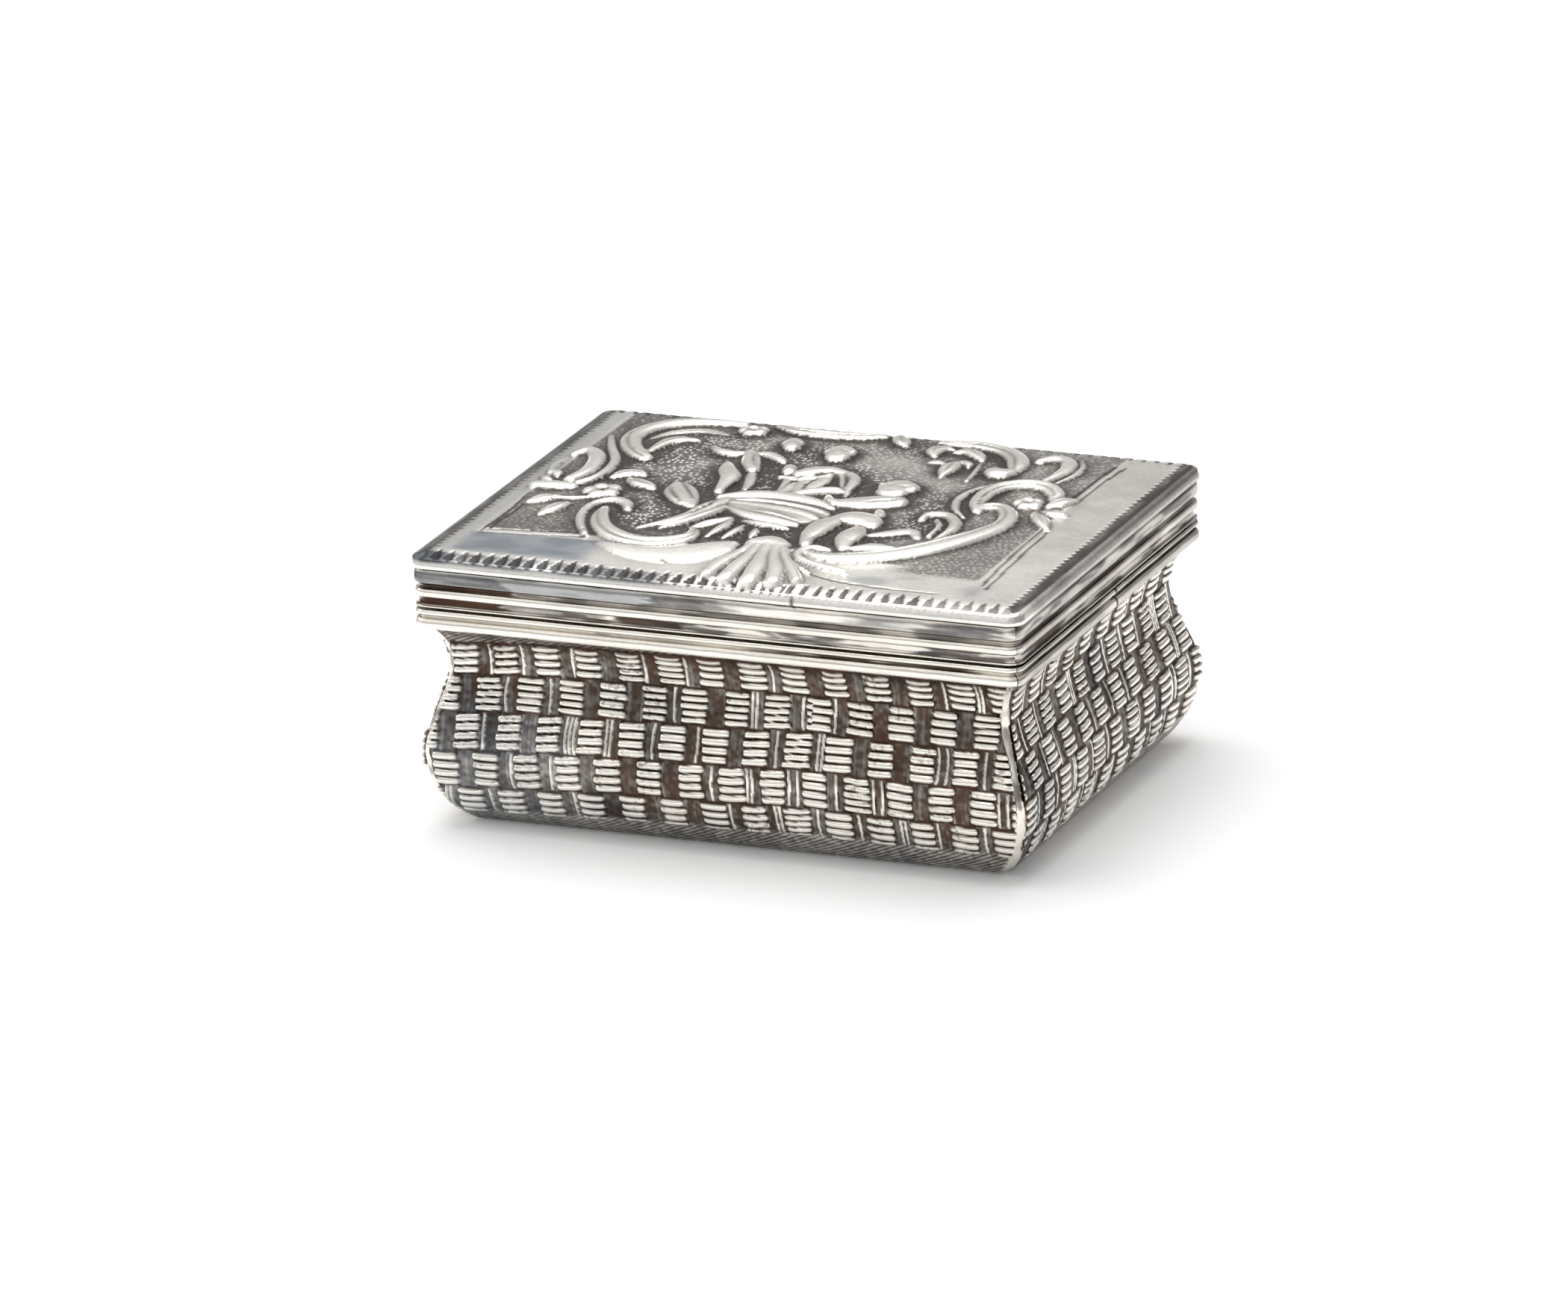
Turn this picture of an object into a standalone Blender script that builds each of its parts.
"""Small silver box: bombe basket-weave case and a hinged, chased lid.

Metres, +Z up. The origin is the middle of the flat base. X runs along the
long front, Y from front to back, and the lid swings about a pin along X.
"""

import math

import bmesh
import bpy
from mathutils import Matrix, Vector
from mathutils.geometry import interpolate_bezier

MM = 0.001

# Overall plan, measured over the lip of the lid
LID_WIDTH = 42.0 * MM
LID_DEPTH = 31.7 * MM
CORNER_RADIUS = 1.0 * MM
INNER_CORNER_RADIUS = 0.5 * MM

# Heights of the closed box
SEAM_HEIGHT = 14.75 * MM
LID_REST_GAP = 0.16 * MM
SOLDER_GAP = 0.1 * MM
CUT_OVERRUN = 2.0 * MM

# Smoothness of curves, and angles at which an edge is sharp or a joint line flat
FINE_STEPS = 40
REED_STEPS = 5
ROUND_FACETS = 20
SHARP_DEGREES = 35.0
FLAT_DEGREES = 0.2

# Base plate
BASE_THICKNESS = 0.5 * MM
BASE_EDGE_RADIUS = 0.15 * MM
BASE_INSET = 2.9 * MM

# Struck walls: insets are measured in from the lip of the lid
SHEET_THICKNESS = 0.45 * MM
WALL_TOP_INSET = 0.85 * MM
NECK_INSET = 1.8 * MM
NECK_DROP = 2.57 * MM
BULGE_INSET = 0.4 * MM
BULGE_HEIGHT = 4.9 * MM
FOOT_INSET = 3.2 * MM

# Basket weave struck into the walls
WEAVE_ROWS = 6
FRONT_PAIRS = 14
SIDE_PAIRS = 10
BLOCK_RISE = 0.16 * MM
BLOCK_SLOPE = 0.14 * MM
STEPS_PER_ROW = 2

# Plain filled seams at the four corners
CORNER_SEAM_WIDTH = 0.7 * MM
CORNER_SEAM_PROUD = 0.08 * MM

# Case rim moulding, from the seam down: upper reed, groove, lower reed
CASE_RIM_HEIGHT = 1.3 * MM
CASE_RIM_INSET = 0.2 * MM
CASE_RIM_INNER_INSET = 1.4 * MM
UPPER_REED_RADIUS = 0.2 * MM
CASE_GROOVE_DEPTH = 0.22 * MM
LOWER_REED_RADIUS = 0.32 * MM

# Lid frame moulding, from the seam up: hollow, reed, cove, swelling band
LID_FRAME_HEIGHT = 2.5 * MM
LID_FRAME_INSET = 0.2 * MM
LID_FRAME_INNER_INSET = 1.2 * MM
HOLLOW_HEIGHT = 0.72 * MM
HOLLOW_DEPTH = 0.16 * MM
REED_HEIGHT = 0.5 * MM
COVE_HEIGHT = 0.42 * MM
COVE_DEPTH = 0.3 * MM
BAND_SWELL = 0.1 * MM

# Lid plate
LIP_THICKNESS = 0.42 * MM
PLATE_THICKNESS = 0.5 * MM
SHOULDER_WIDTH = 1.65 * MM
SHOULDER_RISE = 0.6 * MM
DOME_RISE = 0.35 * MM
SHOULDER_STEPS = 4
DOME_SHARES = (0.12, 0.3, 0.5, 0.75)

# Chased relief on the lid: half widths across a full stroke, and rises above the dome
SCROLL_HALF_WIDTH = 0.8 * MM
SCROLL_RISE = 0.4 * MM
LEAF_HALF_WIDTH = 0.6 * MM
LEAF_RISE = 0.34 * MM
LIMB_HALF_WIDTH = 0.85 * MM
LIMB_RISE = 0.37 * MM
DRAPERY_HALF_WIDTH = 0.95 * MM
DRAPERY_RISE = 0.38 * MM
SHELL_HALF_WIDTH = 0.75 * MM
SHELL_RISE = 0.4 * MM
HEAD_HALF_WIDTH = 1.15 * MM
HEAD_HALF_HEIGHT = 1.4 * MM
HEAD_RISE = 0.42 * MM
PETAL_RADIUS = 0.55 * MM
PETAL_REACH = 0.7 * MM
PETAL_RISE = 0.34 * MM
PETAL_COUNT = 5
KNOB_RADIUS = 0.85 * MM
KNOB_RISE = 0.42 * MM
LONG_STEPS = 9
SHORT_STEPS = 4
HEAD_SEGMENTS = 8
PETAL_SEGMENTS = 6
BOSS_RINGS = 4
CROWN_POWER = 0.3

# Section of a stroke: shares of its half width and rise, from one foot over to the other
RIDGE_SHARES = ((1.0, -0.3), (0.8, 0.7), (0.0, 1.0), (-0.8, 0.7), (-1.0, -0.3))

# Strokes of the relief: shares of the lid's half width, half depth and a full stroke's width
SCROLL_SHARES = (
    ((-0.49, 0.88, 0.50), (-0.59, 0.86, 0.75), (-0.69, 0.81, 0.90), (-0.75, 0.71, 0.95),
     (-0.77, 0.59, 0.95), (-0.74, 0.48, 0.95), (-0.69, 0.38, 0.90), (-0.64, 0.33, 0.60)),
    ((-0.88, 0.33, 0.30), (-0.85, 0.38, 0.60), (-0.80, 0.32, 0.75), (-0.77, 0.21, 0.80),
     (-0.77, 0.10, 0.75), (-0.79, 0.01, 0.60)),
    ((-0.84, 0.58, 0.25), (-0.79, 0.44, 0.40), (-0.73, 0.29, 0.50), (-0.71, 0.16, 0.50),
     (-0.71, 0.04, 0.50), (-0.75, -0.04, 0.40)),
    ((-0.49, -0.31, 0.40), (-0.52, -0.24, 0.60), (-0.57, -0.21, 0.50), (-0.61, -0.28, 0.45),
     (-0.61, -0.39, 0.40), (-0.58, -0.51, 0.40), (-0.53, -0.62, 0.30)),
    ((-0.57, -0.31, 0.40), (-0.55, -0.42, 0.75), (-0.50, -0.53, 0.90), (-0.42, -0.62, 1.00),
     (-0.33, -0.66, 1.00), (-0.25, -0.62, 0.90), (-0.21, -0.56, 0.80), (-0.22, -0.48, 0.40)),
    ((-0.45, -0.70, 0.40), (-0.35, -0.74, 0.90), (-0.25, -0.76, 1.30), (-0.15, -0.72, 1.50),
     (-0.09, -0.64, 1.00), (-0.06, -0.58, 0.40)),
    ((0.53, 0.09, 0.55), (0.56, 0.14, 0.70), (0.60, 0.14, 0.75), (0.64, 0.06, 0.80),
     (0.66, -0.05, 0.90), (0.63, -0.18, 1.05), (0.58, -0.32, 1.25), (0.51, -0.44, 1.25),
     (0.43, -0.55, 1.15), (0.33, -0.61, 1.00), (0.25, -0.62, 0.75), (0.19, -0.59, 0.50)),
    ((0.25, -0.55, 0.25), (0.20, -0.54, 0.40), (0.17, -0.59, 0.50), (0.19, -0.66, 0.45),
     (0.26, -0.72, 0.40), (0.36, -0.76, 0.30)),
    ((0.41, -0.10, 0.40), (0.42, -0.04, 0.50), (0.47, -0.03, 0.60), (0.52, -0.10, 0.60),
     (0.53, -0.20, 0.50), (0.52, -0.32, 0.25)),
    ((0.49, 0.40, 0.20), (0.45, 0.29, 0.30), (0.44, 0.18, 0.40), (0.47, 0.06, 0.35),
     (0.52, -0.02, 0.20)),
    ((0.54, 0.07, 0.50), (0.51, 0.16, 0.70), (0.50, 0.29, 0.85), (0.53, 0.39, 0.90),
     (0.59, 0.45, 0.90), (0.66, 0.44, 0.90), (0.70, 0.37, 0.80), (0.71, 0.30, 0.40)),
    ((0.53, 0.75, 0.40), (0.57, 0.81, 0.60), (0.61, 0.79, 0.70), (0.64, 0.71, 0.70),
     (0.64, 0.61, 0.60), (0.62, 0.50, 0.40)),
    ((0.17, 0.88, 0.40), (0.29, 0.88, 0.75), (0.39, 0.85, 0.90), (0.46, 0.76, 1.00),
     (0.49, 0.66, 0.90), (0.50, 0.59, 0.50)),
    ((-0.38, 0.88, 0.40), (-0.30, 0.85, 0.75), (-0.20, 0.84, 0.80), (-0.10, 0.85, 0.75),
     (-0.02, 0.88, 0.40)),
)
LEAF_SHARES = (
    ((-0.56, 0.61, 0.30), (-0.60, 0.60, 0.80), (-0.64, 0.55, 0.90), (-0.65, 0.48, 0.70),
     (-0.66, 0.42, 0.40)),
    ((-0.67, 0.07, 0.40), (-0.64, 0.11, 1.00), (-0.60, 0.13, 0.90), (-0.57, 0.11, 0.25)),
    ((-0.60, 0.06, 0.40), (-0.57, 0.02, 1.00), (-0.52, -0.01, 0.90), (-0.50, -0.03, 0.30)),
    ((-0.76, -0.21, 0.40), (-0.80, -0.25, 1.00), (-0.82, -0.29, 0.50)),
    ((-0.70, -0.28, 0.40), (-0.72, -0.35, 1.00), (-0.74, -0.44, 0.30)),
    ((-0.87, -0.08, 0.90), (-0.82, -0.08, 1.15), (-0.76, -0.08, 0.80)),
    ((0.72, 0.23, 0.50), (0.75, 0.28, 1.10), (0.78, 0.33, 0.50)),
    ((0.73, 0.16, 0.30), (0.77, 0.15, 0.80), (0.80, 0.15, 0.30)),
    ((0.71, 0.12, 0.40), (0.75, 0.06, 1.00), (0.79, -0.03, 0.40)),
    ((0.20, 0.69, 0.30), (0.19, 0.75, 1.00), (0.20, 0.80, 0.80), (0.24, 0.80, 0.25)),
    ((0.25, 0.77, 0.30), (0.29, 0.79, 0.90), (0.33, 0.75, 0.90), (0.36, 0.69, 0.30)),
    ((0.30, 0.62, 0.50), (0.30, 0.54, 1.15), (0.30, 0.44, 0.25)),
    ((0.03, 0.88, 0.80), (0.05, 0.84, 1.00), (0.08, 0.79, 0.30)),
    ((0.31, -0.33, 0.50), (0.36, -0.29, 0.80), (0.42, -0.25, 0.90), (0.46, -0.30, 0.50)),
    ((0.31, -0.50, 0.70), (0.36, -0.47, 1.00), (0.42, -0.45, 0.60)),
)
LIMB_SHARES = (
    ((-0.49, 0.54, 0.30), (-0.45, 0.49, 0.60), (-0.40, 0.47, 0.65), (-0.36, 0.49, 0.50)),
    ((-0.31, 0.50, 0.40), (-0.28, 0.49, 0.70), (-0.23, 0.45, 0.60), (-0.20, 0.42, 0.20)),
    ((-0.35, 0.50, 0.60), (-0.33, 0.45, 0.85), (-0.30, 0.38, 0.95), (-0.27, 0.29, 0.70)),
    ((-0.37, 0.33, 0.60), (-0.34, 0.26, 0.95), (-0.31, 0.18, 1.00), (-0.30, 0.09, 0.70),
     (-0.29, 0.00, 0.50)),
    ((-0.43, 0.03, 1.00), (-0.40, -0.04, 1.50), (-0.36, -0.13, 1.40), (-0.31, -0.20, 0.60)),
    ((-0.11, 0.30, 1.00), (-0.08, 0.33, 1.20), (-0.04, 0.37, 0.90), (0.00, 0.36, 0.70)),
    ((-0.01, 0.37, 0.65), (0.04, 0.31, 1.00), (0.07, 0.23, 1.00), (0.09, 0.15, 0.50),
     (0.10, 0.07, 0.15)),
    ((-0.16, 0.23, 0.40), (-0.10, 0.22, 0.50), (-0.06, 0.26, 0.50), (-0.02, 0.31, 0.40)),
    ((-0.08, 0.01, 0.40), (-0.01, 0.08, 0.70), (0.05, 0.13, 0.70), (0.07, 0.12, 0.30)),
    ((0.06, 0.05, 0.40), (0.08, 0.00, 0.60), (0.12, -0.02, 0.90), (0.17, 0.01, 1.30),
     (0.22, 0.04, 1.60), (0.27, 0.05, 1.20)),
    ((0.16, -0.21, 0.90), (0.20, -0.17, 1.60), (0.25, -0.18, 1.50), (0.27, -0.21, 0.80)),
    ((0.18, -0.20, 0.90), (0.15, -0.28, 1.20), (0.14, -0.37, 1.10), (0.14, -0.44, 0.70),
     (0.16, -0.51, 0.50)),
    ((0.26, -0.32, 0.70), (0.26, -0.38, 1.10), (0.27, -0.45, 0.80), (0.28, -0.52, 0.40)),
)
DRAPERY_SHARES = (
    ((-0.27, -0.04, 0.60), (-0.22, 0.03, 0.75), (-0.15, 0.05, 0.75), (-0.10, 0.01, 0.50)),
    ((-0.25, -0.05, 0.60), (-0.26, -0.15, 1.25), (-0.26, -0.24, 1.40), (-0.25, -0.28, 0.75)),
    ((-0.20, -0.03, 0.50), (-0.12, -0.01, 0.80), (-0.03, -0.03, 0.95), (0.06, -0.06, 1.00),
     (0.10, -0.10, 0.60)),
    ((-0.22, -0.04, 0.40), (-0.15, -0.08, 0.60), (-0.06, -0.11, 0.75), (0.04, -0.15, 0.70),
     (0.10, -0.18, 0.40)),
    ((-0.23, -0.05, 0.25), (-0.19, -0.14, 0.50), (-0.11, -0.18, 0.60), (-0.02, -0.21, 0.80),
     (0.08, -0.25, 0.60)),
    ((-0.12, -0.24, 0.50), (-0.05, -0.28, 0.60), (0.02, -0.33, 0.60), (0.04, -0.36, 0.25)),
    ((-0.40, -0.48, 0.25), (-0.36, -0.41, 0.60), (-0.28, -0.35, 0.70), (-0.17, -0.32, 0.50)),
    ((-0.25, -0.42, 0.30), (-0.20, -0.38, 0.50), (-0.14, -0.33, 0.40)),
    ((-0.15, -0.33, 0.40), (-0.15, -0.42, 0.60), (-0.16, -0.52, 0.30)),
    ((-0.11, -0.34, 0.30), (-0.10, -0.43, 0.50), (-0.12, -0.52, 0.30)),
)
SHELL_SHARES = (
    ((0.01, -0.50, 1.10), (0.03, -0.51, 1.20), (0.05, -0.52, 1.00)),
    ((0.00, -0.54, 0.50), (-0.02, -0.66, 0.65), (-0.05, -0.78, 0.75), (-0.10, -0.90, 0.60)),
    ((0.01, -0.53, 0.70), (0.01, -0.67, 0.85), (0.01, -0.79, 1.00), (0.00, -0.92, 0.80)),
    ((0.03, -0.53, 0.70), (0.06, -0.67, 0.75), (0.09, -0.79, 0.90), (0.11, -0.92, 0.80)),
    ((0.06, -0.52, 0.70), (0.10, -0.63, 0.65), (0.15, -0.75, 0.65), (0.19, -0.89, 0.60)),
    ((0.10, -0.59, 0.30), (0.15, -0.69, 0.40), (0.20, -0.78, 0.40), (0.26, -0.87, 0.30)),
)
HEAD_SHARES = ((-0.25, 0.65), (-0.08, 0.59), (0.23, 0.23))
KNOB_SHARES = (0.47, 0.56)
FLOWER_SHARES = ((-0.64, -0.11), (0.66, 0.22), (-0.43, 0.79))

# Bezel
BEZEL_THICKNESS = 0.4 * MM
BEZEL_RISE = 1.1 * MM
BEZEL_DROP = 1.2 * MM
BEZEL_RUNNING_GAP = 0.28 * MM

# Hinge
HINGE_BACK_OFFSET = 0.1 * MM
KNUCKLE_RADIUS = 0.85 * MM
PIN_RADIUS = 0.3 * MM
PIN_GAP = 0.1 * MM
PIN_END = 0.25 * MM
KNUCKLE_SIDE_GAP = 0.12 * MM
HINGE_END_INSET = 1.15 * MM
KNUCKLE_COUNT = 5

HALF_WIDTH = LID_WIDTH / 2
HALF_DEPTH = LID_DEPTH / 2
CASE_RIM_TOP = SEAM_HEIGHT - LID_REST_GAP / 2
LID_FRAME_BOTTOM = SEAM_HEIGHT + LID_REST_GAP / 2
CASE_RIM_BOTTOM = CASE_RIM_TOP - CASE_RIM_HEIGHT
LID_FRAME_TOP = LID_FRAME_BOTTOM + LID_FRAME_HEIGHT
LIP_BOTTOM = LID_FRAME_TOP + SOLDER_GAP
LIP_TOP = LIP_BOTTOM + LIP_THICKNESS
SHOULDER_TOP = LIP_TOP + SHOULDER_RISE
WALL_TOP = CASE_RIM_BOTTOM - SOLDER_GAP
NECK_HEIGHT = WALL_TOP - NECK_DROP
HINGE_Y = HALF_DEPTH - HINGE_BACK_OFFSET
HINGE_HALF_LENGTH = HALF_WIDTH - HINGE_END_INSET
BEZEL_OUTER_INSET = LID_FRAME_INNER_INSET + BEZEL_RUNNING_GAP

# Silver as it stands in the light: colour and roughness of each surface
WALL_COLOUR = (0.62, 0.59, 0.55)
BRIGHT_COLOUR = (0.83, 0.81, 0.77)
CHASED_COLOUR = (0.7, 0.69, 0.67)
PIN_COLOUR = (0.45, 0.43, 0.4)
WALL_ROUGHNESS = 0.38
BRIGHT_ROUGHNESS = 0.22
CHASED_ROUGHNESS = 0.32

CORNERS = (("front_left", -1.0, -1.0), ("front_right", 1.0, -1.0),
           ("back_right", 1.0, 1.0), ("back_left", -1.0, 1.0))

# A side of the box: turn about Z that brings it to the front, and its half length
SIDES = {
    "front": (0.0, HALF_WIDTH, HALF_DEPTH),
    "right": (-math.pi / 2, HALF_DEPTH, HALF_WIDTH),
    "back": (math.pi, HALF_WIDTH, HALF_DEPTH),
    "left": (math.pi / 2, HALF_DEPTH, HALF_WIDTH),
}


def clear_scene():
    """Removes every object that the new file starts with."""
    for obj in list(bpy.data.objects):
        bpy.data.objects.remove(obj, do_unlink=True)


def make_material(name, colour, roughness):
    """A metallic finish with one colour and roughness."""
    material = bpy.data.materials.new(name)
    material.use_nodes = True
    shader = material.node_tree.nodes["Principled BSDF"]
    shader.inputs["Base Color"].default_value = (*colour, 1.0)
    shader.inputs["Metallic"].default_value = 1.0
    shader.inputs["Roughness"].default_value = roughness
    return material


def add_object(name, bm, material):
    """Turns a bmesh into a named object with its own copy of a finish."""
    bmesh.ops.recalc_face_normals(bm, faces=bm.faces[:])
    mesh = bpy.data.meshes.new(name)
    bm.to_mesh(mesh)
    bm.free()
    mesh.shade_smooth()
    mesh.set_sharp_from_angle(angle=math.radians(SHARP_DEGREES))
    own = material.copy()
    own.name = name + "_finish"
    mesh.materials.append(own)
    obj = bpy.data.objects.new(name, mesh)
    bpy.context.scene.collection.objects.link(obj)
    return obj


def make_guide(name, bm):
    """Turns a bmesh into a wire-only helper for a Boolean."""
    bmesh.ops.recalc_face_normals(bm, faces=bm.faces[:])
    mesh = bpy.data.meshes.new(name)
    bm.to_mesh(mesh)
    bm.free()
    guide = bpy.data.objects.new(name, mesh)
    guide.hide_render = True
    guide.display_type = "WIRE"
    bpy.context.scene.collection.objects.link(guide)
    return guide


def combine(target, guide, operation):
    """Cuts a guide's shape out of a piece, or joins it on."""
    modifier = target.modifiers.new(guide.name, "BOOLEAN")
    modifier.operation = operation
    modifier.object = guide
    modifier.use_self = operation == "UNION"


def plan_loop(bm, inset, height, radius, columns_x, columns_y):
    """One rounded oblong loop of vertices; each side is divided into columns.

    It starts at the front left corner's middle and runs anticlockwise, with
    one vertex in each corner's 45 degree plane.
    """
    half_x = HALF_WIDTH - inset - radius
    half_y = HALF_DEPTH - inset - radius
    loop = []
    corners = ((half_x, -half_y, -0.5, columns_y), (half_x, half_y, 0.0, columns_x),
               (-half_x, half_y, 0.5, columns_y), (-half_x, -half_y, 1.0, columns_x))
    for index, (cx, cy, turn, columns) in enumerate(corners):
        for share in (0.0, 0.5, 1.0):
            angle = math.pi * (turn + share / 2)
            loop.append((cx + radius * math.cos(angle), cy + radius * math.sin(angle), height))
        nx, ny = corners[(index + 1) % 4][:2]
        end_angle = math.pi * (turn + 0.5)
        ox, oy = radius * math.cos(end_angle), radius * math.sin(end_angle)
        for step in range(1, columns):
            share = step / columns
            loop.append((cx + (nx - cx) * share + ox, cy + (ny - cy) * share + oy, height))
    return [bm.verts.new(point) for point in loop]


def skin_loops(bm, loops, closed):
    """Quads between each loop and the next; returns them row by row."""
    rows = []
    pairs = list(zip(loops, loops[1:]))
    if closed:
        pairs.append((loops[-1], loops[0]))
    for lower, upper in pairs:
        count = len(lower)
        rows.append([bm.faces.new((lower[i], lower[(i + 1) % count],
                                   upper[(i + 1) % count], upper[i])) for i in range(count)])
    return rows


def keep_side(bm, side, margin):
    """Cuts a ring at the two 45 degree mitres of one side and caps the cuts."""
    turn, half_length, half_reach = SIDES[side]
    spin = Matrix.Rotation(-turn, 3, "Z")
    for sign in (-1.0, 1.0):
        corner = spin @ Vector((sign * half_length, -half_reach, 0.0))
        normal = spin @ Vector((sign, 1.0, 0.0)).normalized()
        geometry = bm.verts[:] + bm.edges[:] + bm.faces[:]
        cut = bmesh.ops.bisect_plane(bm, geom=geometry, plane_co=corner - normal * margin,
                                     plane_no=normal, clear_outer=True)
        edges = [item for item in cut["geom_cut"] if isinstance(item, bmesh.types.BMEdge)]
        bmesh.ops.holes_fill(bm, edges=edges, sides=0)
    bmesh.ops.dissolve_limit(bm, angle_limit=math.radians(FLAT_DEGREES), verts=bm.verts[:],
                             edges=bm.edges[:])


def ring_profile_object(name, profile, side, material):
    """A mitred length of moulding from a closed list of (inset, height, radius)."""
    bm = bmesh.new()
    loops = [plan_loop(bm, inset, height, radius, 1, 1) for inset, height, radius in profile]
    skin_loops(bm, loops, closed=True)
    bmesh.ops.recalc_face_normals(bm, faces=bm.faces[:])
    keep_side(bm, side, SOLDER_GAP / 2)
    return add_object(name, bm, material)


def half_round(inset, centre, radius):
    """Points of a reed that stands out to an inset, from its top to its foot."""
    points = []
    for step in range(REED_STEPS + 1):
        angle = math.pi * (0.5 - step / REED_STEPS)
        points.append((inset + radius - radius * math.cos(angle),
                       centre + radius * math.sin(angle), CORNER_RADIUS))
    return points


def case_rim_profile():
    """Upper reed, narrow groove and lower reed, with a flat inner face."""
    upper = half_round(CASE_RIM_INSET, CASE_RIM_TOP - UPPER_REED_RADIUS, UPPER_REED_RADIUS)
    lower_centre = CASE_RIM_BOTTOM + LOWER_REED_RADIUS
    lower = half_round(CASE_RIM_INSET, lower_centre, LOWER_REED_RADIUS)
    groove_height = (CASE_RIM_TOP - 2 * UPPER_REED_RADIUS + lower_centre + LOWER_REED_RADIUS) / 2
    groove = [(CASE_RIM_INSET + CASE_GROOVE_DEPTH + UPPER_REED_RADIUS, groove_height,
               CORNER_RADIUS)]
    inner = [(CASE_RIM_INNER_INSET, CASE_RIM_BOTTOM, INNER_CORNER_RADIUS),
             (CASE_RIM_INNER_INSET, CASE_RIM_TOP, INNER_CORNER_RADIUS)]
    return upper + groove + lower + inner


def lid_frame_profile():
    """Swelling band, cove, reed and hollow, with a flat inner face."""
    outer = LID_FRAME_INSET
    top = LID_FRAME_TOP
    reed_top = LID_FRAME_BOTTOM + HOLLOW_HEIGHT + REED_HEIGHT
    cove_top = reed_top + COVE_HEIGHT
    band = cove_top + (top - cove_top) / 2
    hollow_top = LID_FRAME_BOTTOM + HOLLOW_HEIGHT
    radius = CORNER_RADIUS
    points = [(outer, top, radius), (outer - BAND_SWELL / 2, band, radius),
              (outer + BAND_SWELL / 2, cove_top, radius),
              (outer + COVE_DEPTH, cove_top - COVE_HEIGHT / 2, radius),
              (outer + COVE_DEPTH, reed_top, radius)]
    points += half_round(outer, reed_top - REED_HEIGHT / 2, REED_HEIGHT / 2)[1:-1]
    points += [(outer + HOLLOW_DEPTH, hollow_top, radius),
               (outer + HOLLOW_DEPTH, LID_FRAME_BOTTOM + HOLLOW_HEIGHT / 3, radius),
               (outer + HOLLOW_DEPTH / 2, LID_FRAME_BOTTOM, radius),
               (LID_FRAME_INNER_INSET, LID_FRAME_BOTTOM, INNER_CORNER_RADIUS),
               (LID_FRAME_INNER_INSET, top, INNER_CORNER_RADIUS)]
    return points


def wall_profile():
    """Outer (inset, height) points down the S-shaped wall, evenly spaced."""
    foot_height = BASE_THICKNESS + SOLDER_GAP
    swell = NECK_HEIGHT - BULGE_HEIGHT
    tuck = BULGE_HEIGHT - foot_height
    knots = (
        (Vector((WALL_TOP_INSET, WALL_TOP)),
         Vector((WALL_TOP_INSET + (NECK_INSET - WALL_TOP_INSET) / 2, WALL_TOP - NECK_DROP / 6)),
         Vector((NECK_INSET, NECK_HEIGHT + NECK_DROP / 2)), Vector((NECK_INSET, NECK_HEIGHT))),
        (Vector((NECK_INSET, NECK_HEIGHT)), Vector((NECK_INSET, NECK_HEIGHT - swell / 3)),
         Vector((BULGE_INSET, BULGE_HEIGHT + swell / 3)), Vector((BULGE_INSET, BULGE_HEIGHT))),
        (Vector((BULGE_INSET, BULGE_HEIGHT)), Vector((BULGE_INSET, BULGE_HEIGHT - tuck / 2)),
         Vector(((FOOT_INSET + BULGE_INSET) / 2, foot_height + tuck / 9)),
         Vector((FOOT_INSET, foot_height))),
    )
    fine = []
    for first, handle_a, handle_b, last in knots:
        fine += interpolate_bezier(first, handle_a, handle_b, last, FINE_STEPS)[:-1]
    fine.append(knots[-1][3])
    return even_steps([point.to_2d() for point in fine], WEAVE_ROWS * STEPS_PER_ROW)


def even_steps(points, count):
    """The points that part a polyline into equal lengths."""
    spans = [(b - a).length for a, b in zip(points, points[1:])]
    step = sum(spans) / count
    result = [points[0]]
    wanted, walked = step, 0.0
    for start, end, span in zip(points, points[1:], spans):
        while walked + span >= wanted and len(result) < count:
            result.append(start.lerp(end, (wanted - walked) / span))
            wanted += step
        walked += span
    result.append(points[-1])
    return result


def inner_profile(outer):
    """The inside of the struck sheet, one sheet thickness from the outside."""
    inner = []
    for index, point in enumerate(outer):
        before = outer[max(index - 1, 0)]
        after = outer[min(index + 1, len(outer) - 1)]
        run = (after - before).normalized()
        height = point.y + run.x * SHEET_THICKNESS
        inset = point.x - run.y * SHEET_THICKNESS
        inner.append(Vector((inset, min(max(height, outer[-1].y), outer[0].y))))
    return inner


def wall_ring(bm, proud, columns_x, columns_y):
    """The whole struck band as one ring; returns its outer faces row by row."""
    outer = wall_profile()
    inner = inner_profile(outer)
    loops = [plan_loop(bm, point.x - proud, point.y, CORNER_RADIUS, columns_x, columns_y)
             for point in outer]
    loops += [plan_loop(bm, point.x, point.y, INNER_CORNER_RADIUS, columns_x, columns_y)
              for point in reversed(inner)]
    rows = skin_loops(bm, loops, closed=True)
    bmesh.ops.recalc_face_normals(bm, faces=bm.faces[:])
    return rows[:len(outer) - 1]


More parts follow.
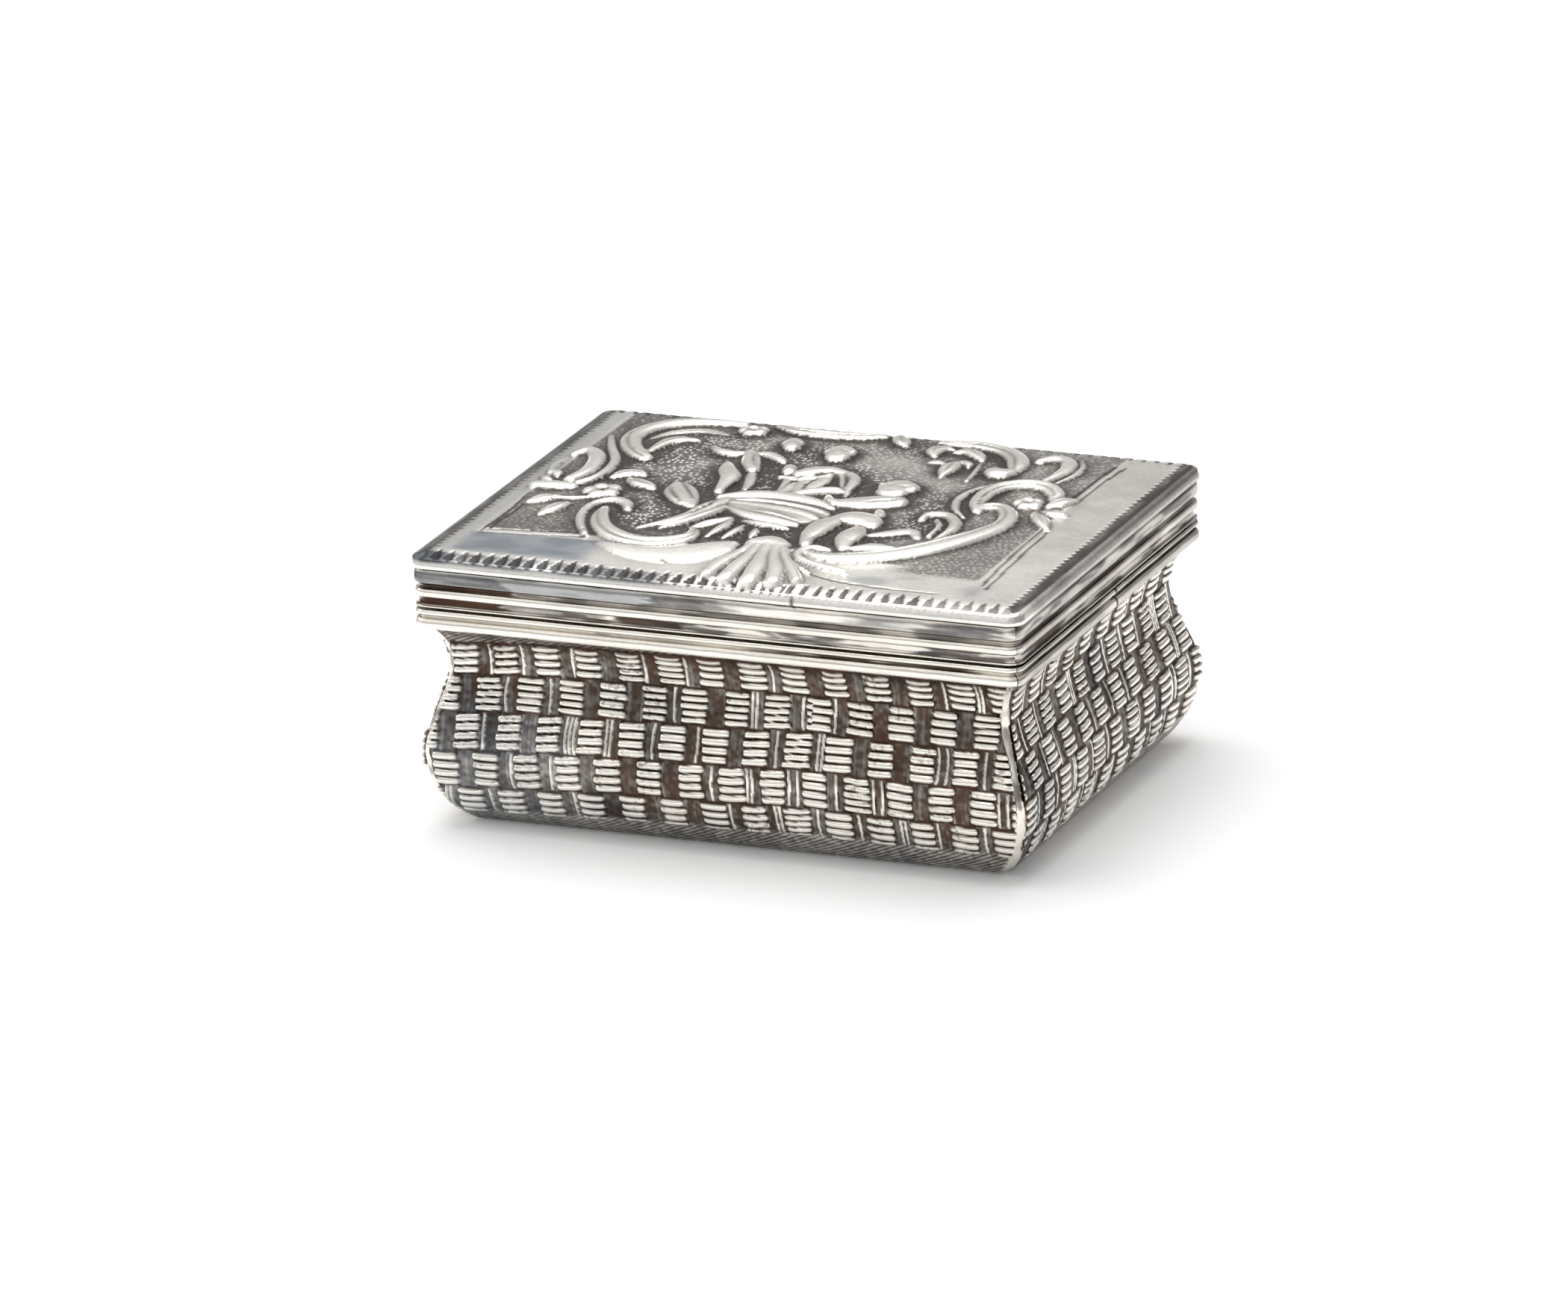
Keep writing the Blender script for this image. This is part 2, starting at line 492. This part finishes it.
def make_wall(side, material):
    """One struck wall: the ring's own side with its raised weave blocks."""
    columns_x, columns_y = 2 * FRONT_PAIRS, 2 * SIDE_PAIRS
    bm = bmesh.new()
    rows = wall_ring(bm, 0.0, columns_x, columns_y)
    corner_faces = 2
    starts = {"right": corner_faces, "back": 2 * corner_faces + columns_y,
              "left": 3 * corner_faces + columns_y + columns_x,
              "front": 4 * corner_faces + 2 * columns_y + columns_x}
    columns = columns_x if side in ("front", "back") else columns_y
    for row in range(WEAVE_ROWS):
        for column in range(columns):
            if (row + column) % 2:
                continue
            block = [rows[row * STEPS_PER_ROW + step][starts[side] + column]
                     for step in range(STEPS_PER_ROW)]
            bmesh.ops.inset_region(bm, faces=block, thickness=BLOCK_SLOPE, depth=BLOCK_RISE,
                                   use_boundary=True, use_even_offset=True)
    keep_side(bm, side, CORNER_SEAM_WIDTH / 2 + SOLDER_GAP)
    return add_object("wall_" + side, bm, material)


def make_corner_seam(name, sign_x, sign_y, material):
    """A plain filled corner strip: the ring's slice about one 45 degree plane."""
    bm = bmesh.new()
    wall_ring(bm, CORNER_SEAM_PROUD, 1, 1)
    corner = Vector((sign_x * HALF_WIDTH, sign_y * HALF_DEPTH, 0.0))
    along = Vector((sign_x, sign_y, 0.0)).normalized()
    across = Vector((-along.y, along.x, 0.0))
    reach = FOOT_INSET + SHEET_THICKNESS + CUT_OVERRUN
    planes = ((corner + across * CORNER_SEAM_WIDTH / 2, across),
              (corner - across * CORNER_SEAM_WIDTH / 2, -across),
              (corner - along * 2 * reach, -along))
    for point, normal in planes:
        cut = bmesh.ops.bisect_plane(bm, geom=bm.verts[:] + bm.edges[:] + bm.faces[:],
                                     plane_co=point, plane_no=normal, clear_outer=True)
        edges = [item for item in cut["geom_cut"] if isinstance(item, bmesh.types.BMEdge)]
        if edges:
            bmesh.ops.holes_fill(bm, edges=edges, sides=0)
    return add_object(name, bm, material)


def make_base_plate(material):
    """Flat plate with a softened edge that the box rests on."""
    edge = BASE_EDGE_RADIUS
    levels = ((BASE_INSET + edge, 0.0), (BASE_INSET, edge),
              (BASE_INSET, BASE_THICKNESS - edge), (BASE_INSET + edge, BASE_THICKNESS))
    bm = bmesh.new()
    loops = [plan_loop(bm, inset, height, CORNER_RADIUS, 1, 1) for inset, height in levels]
    skin_loops(bm, loops, closed=False)
    bm.faces.new(loops[0])
    bm.faces.new(loops[-1])
    return add_object("base_plate", bm, material)


def make_bezel(side, material):
    """Upright inner strip that the lid frame closes over."""
    top = CASE_RIM_TOP + BEZEL_RISE
    bottom = CASE_RIM_TOP - BEZEL_DROP
    inner = BEZEL_OUTER_INSET + BEZEL_THICKNESS
    radius = INNER_CORNER_RADIUS
    profile = [(BEZEL_OUTER_INSET, bottom, radius),
               (BEZEL_OUTER_INSET, top - BEZEL_THICKNESS / 2, radius),
               (BEZEL_OUTER_INSET + BEZEL_THICKNESS / 4, top, radius),
               (inner, top, radius), (inner, bottom, radius)]
    return ring_profile_object("bezel_" + side, profile, side, material)


def dome_height(share):
    """Height of the dome at a share of the way in from its shoulder."""
    return SHOULDER_TOP + DOME_RISE * (1 - (1 - share) ** 2)


def height_under(point):
    """Height of the dome or its shoulder under a plan point."""
    inset = min(HALF_WIDTH - abs(point.x), HALF_DEPTH - abs(point.y))
    if inset < SHOULDER_WIDTH:
        rolled = 1 - inset / SHOULDER_WIDTH
        return LIP_TOP + SHOULDER_RISE * math.sqrt(1 - rolled ** 2)
    share = (inset - SHOULDER_WIDTH) / (HALF_DEPTH - SHOULDER_WIDTH)
    return dome_height(min(share, DOME_SHARES[-1]))


def plan_point(shares):
    """Plan point at shares of the lid's half width and half depth."""
    return Vector((shares[0] * HALF_WIDTH, shares[1] * HALF_DEPTH))


def smooth_path(points, count):
    """Evenly spaced points on a smooth curve through a stroke's points."""
    fine = []
    for index, (start, end) in enumerate(zip(points, points[1:])):
        before = points[max(index - 1, 0)]
        after = points[min(index + 2, len(points) - 1)]
        fine += interpolate_bezier(start, start + (end - before) / 6,
                                   end - (after - start) / 6, end, FINE_STEPS)[:-1]
    fine.append(points[-1])
    return even_steps(fine, count)


def add_ridge(bm, stroke, half_width, rise, steps):
    """A rounded ridge along a smooth stroke; each point's third share sets its width."""
    points = []
    for share_x, share_y, width_share in stroke:
        place = plan_point((share_x, share_y))
        points.append(Vector((place.x, place.y, half_width * width_share)))
    path = smooth_path(points, steps)
    loops = []
    for index, point in enumerate(path):
        run = path[min(index + 1, steps)] - path[max(index - 1, 0)]
        across = Vector((-run.y, run.x)).normalized() * point.z
        crown = rise * (point.z / half_width) ** CROWN_POWER
        loop = []
        for side_share, rise_share in RIDGE_SHARES:
            place = point.to_2d() + across * side_share
            loop.append(bm.verts.new((place.x, place.y, height_under(point) + crown * rise_share)))
        loops.append(loop)
    skin_loops(bm, loops, closed=False)
    bm.faces.new(loops[0])
    bm.faces.new(loops[-1])


def add_boss(bm, point, half_width, half_length, rise, segments):
    """A low rounded boss on the dome."""
    place = Matrix.Translation((point.x, point.y, height_under(point)))
    shape = Matrix.Diagonal((half_width, half_length, rise, 1.0))
    bmesh.ops.create_uvsphere(bm, u_segments=segments, v_segments=BOSS_RINGS, radius=1.0,
                              matrix=place @ shape)


def make_relief():
    """All the chased strokes as one guide that the lid plate is joined with."""
    bm = bmesh.new()
    strokes = ((SCROLL_SHARES, SCROLL_HALF_WIDTH, SCROLL_RISE, LONG_STEPS),
               (LEAF_SHARES, LEAF_HALF_WIDTH, LEAF_RISE, SHORT_STEPS),
               (LIMB_SHARES, LIMB_HALF_WIDTH, LIMB_RISE, SHORT_STEPS),
               (DRAPERY_SHARES, DRAPERY_HALF_WIDTH, DRAPERY_RISE, SHORT_STEPS),
               (SHELL_SHARES, SHELL_HALF_WIDTH, SHELL_RISE, SHORT_STEPS))
    for table, half_width, rise, steps in strokes:
        for stroke in table:
            add_ridge(bm, stroke, half_width, rise, steps)
    for shares in HEAD_SHARES:
        add_boss(bm, plan_point(shares), HEAD_HALF_WIDTH, HEAD_HALF_HEIGHT, HEAD_RISE,
                 HEAD_SEGMENTS)
    add_boss(bm, plan_point(KNOB_SHARES), KNOB_RADIUS, KNOB_RADIUS, KNOB_RISE, HEAD_SEGMENTS)
    for shares in FLOWER_SHARES:
        for petal in range(PETAL_COUNT):
            turn = 2 * math.pi * petal / PETAL_COUNT
            reach = Vector((math.cos(turn), math.sin(turn))) * PETAL_REACH
            add_boss(bm, plan_point(shares) + reach, PETAL_RADIUS, PETAL_RADIUS, PETAL_RISE,
                     PETAL_SEGMENTS)
    return make_guide("relief_strokes", bm)


def make_lid_plate(material):
    """Domed sheet with a plain lip, a rolled shoulder and a hollow underside."""
    edge = LIP_THICKNESS / 4
    top = [(edge, LIP_BOTTOM), (0.0, LIP_BOTTOM + edge), (0.0, LIP_TOP - edge),
           (edge, LIP_TOP)]
    for step in range(1, SHOULDER_STEPS + 1):
        angle = math.pi / 2 * step / SHOULDER_STEPS
        top.append((edge + (SHOULDER_WIDTH - edge) * (1 - math.cos(angle)),
                    LIP_TOP + SHOULDER_RISE * math.sin(angle)))
    reach = HALF_DEPTH - SHOULDER_WIDTH
    dome = [(SHOULDER_WIDTH + reach * share, dome_height(share)) for share in DOME_SHARES]
    under = [(inset, height - PLATE_THICKNESS) for inset, height in reversed(dome)]
    under.append((SHOULDER_WIDTH + PLATE_THICKNESS, SHOULDER_TOP - PLATE_THICKNESS))
    under.append((LID_FRAME_INNER_INSET + PLATE_THICKNESS / 2, LIP_BOTTOM))
    bm = bmesh.new()
    loops = []
    for inset, height in top + dome:
        loops.append(plan_loop(bm, inset, height, CORNER_RADIUS, 1, 1))
    split = len(loops)
    for inset, height in under:
        loops.append(plan_loop(bm, inset, height, INNER_CORNER_RADIUS, 1, 1))
    skin_loops(bm, loops[:split], closed=False)
    skin_loops(bm, loops[split:] + loops[:1], closed=False)
    bm.faces.new(loops[split - 1])
    bm.faces.new(loops[split])
    return add_object("lid_plate", bm, material)


def circle_loop(bm, along, radius):
    """Vertices of a circle about the hinge axis at one place along X."""
    turns = [2 * math.pi * step / ROUND_FACETS for step in range(ROUND_FACETS)]
    return [bm.verts.new((along, HINGE_Y + radius * math.cos(turn),
                          SEAM_HEIGHT + radius * math.sin(turn))) for turn in turns]


def make_knuckle(name, start, end, material):
    """One drawn tube of the hinge, bored for the pin."""
    bore = PIN_RADIUS + PIN_GAP
    bm = bmesh.new()
    loops = [circle_loop(bm, start, bore), circle_loop(bm, start, KNUCKLE_RADIUS),
             circle_loop(bm, end, KNUCKLE_RADIUS), circle_loop(bm, end, bore)]
    skin_loops(bm, loops, closed=True)
    return add_object(name, bm, material)


def make_pin(material):
    """Hinge wire with softly rounded ends that stand out of the tube."""
    half = HINGE_HALF_LENGTH + PIN_END
    soft = PIN_RADIUS / 3
    bm = bmesh.new()
    places = ((-half, PIN_RADIUS - soft), (-half + soft, PIN_RADIUS),
              (half - soft, PIN_RADIUS), (half, PIN_RADIUS - soft))
    loops = [circle_loop(bm, along, radius) for along, radius in places]
    skin_loops(bm, loops, closed=False)
    bm.faces.new(loops[0])
    bm.faces.new(loops[-1])
    return add_object("hinge_pin", bm, material)


def make_channel_cutter():
    """Long cylinder about the hinge axis that hollows the two back rails."""
    half = HALF_WIDTH + CUT_OVERRUN
    radius = KNUCKLE_RADIUS + SOLDER_GAP
    bm = bmesh.new()
    loops = [circle_loop(bm, -half, radius), circle_loop(bm, half, radius)]
    skin_loops(bm, loops, closed=False)
    bm.faces.new(loops[0])
    bm.faces.new(loops[-1])
    return make_guide("channel_cutter", bm)


def make_hinge(silver, steel):
    """Tube hinge: the case carries the odd knuckles and the lid the even ones."""
    pieces = {"case": [], "lid": []}
    names = {0: "case_knuckle_left", 2: "case_knuckle_middle", 4: "case_knuckle_right",
             1: "lid_knuckle_left", 3: "lid_knuckle_right"}
    pitch = 2 * HINGE_HALF_LENGTH / KNUCKLE_COUNT
    for index in range(KNUCKLE_COUNT):
        start = -HINGE_HALF_LENGTH + index * pitch
        knuckle = make_knuckle(names[index], start + KNUCKLE_SIDE_GAP / 2,
                               start + pitch - KNUCKLE_SIDE_GAP / 2, silver)
        pieces["lid" if index % 2 else "case"].append(knuckle)
    pieces["case"].append(make_pin(steel))
    return pieces


def put_on_hinge(objects):
    """Parents the lid's pieces to an empty on the hinge axis."""
    axis = bpy.data.objects.new("lid_axis", None)
    axis.location = (0.0, HINGE_Y, SEAM_HEIGHT)
    bpy.context.scene.collection.objects.link(axis)
    bpy.context.view_layer.update()
    for obj in objects:
        obj.parent = axis
        obj.matrix_parent_inverse = axis.matrix_world.inverted()


def main():
    """Builds the case, the lid and the hinge."""
    clear_scene()
    wall_silver = make_material("struck_silver", WALL_COLOUR, WALL_ROUGHNESS)
    bright_silver = make_material("planished_silver", BRIGHT_COLOUR, BRIGHT_ROUGHNESS)
    chased_silver = make_material("chased_silver", CHASED_COLOUR, CHASED_ROUGHNESS)
    pin_metal = make_material("hard_silver_wire", PIN_COLOUR, BRIGHT_ROUGHNESS)

    make_base_plate(bright_silver)
    for side in SIDES:
        make_wall(side, wall_silver)
        ring_profile_object("case_rim_" + side, case_rim_profile(), side, bright_silver)
    for name, sign_x, sign_y in CORNERS:
        make_corner_seam("corner_seam_" + name, sign_x, sign_y, bright_silver)
    for side in ("front", "left", "right"):
        make_bezel(side, bright_silver)

    lid = [make_lid_plate(chased_silver)]
    for side in SIDES:
        lid.append(ring_profile_object("lid_frame_" + side, lid_frame_profile(), side,
                                       bright_silver))
    cutter = make_channel_cutter()
    for name in ("case_rim_back", "lid_frame_back"):
        combine(bpy.data.objects[name], cutter, "DIFFERENCE")
    combine(lid[0], make_relief(), "UNION")
    lid += make_hinge(bright_silver, pin_metal)["lid"]
    put_on_hinge(lid)


main()
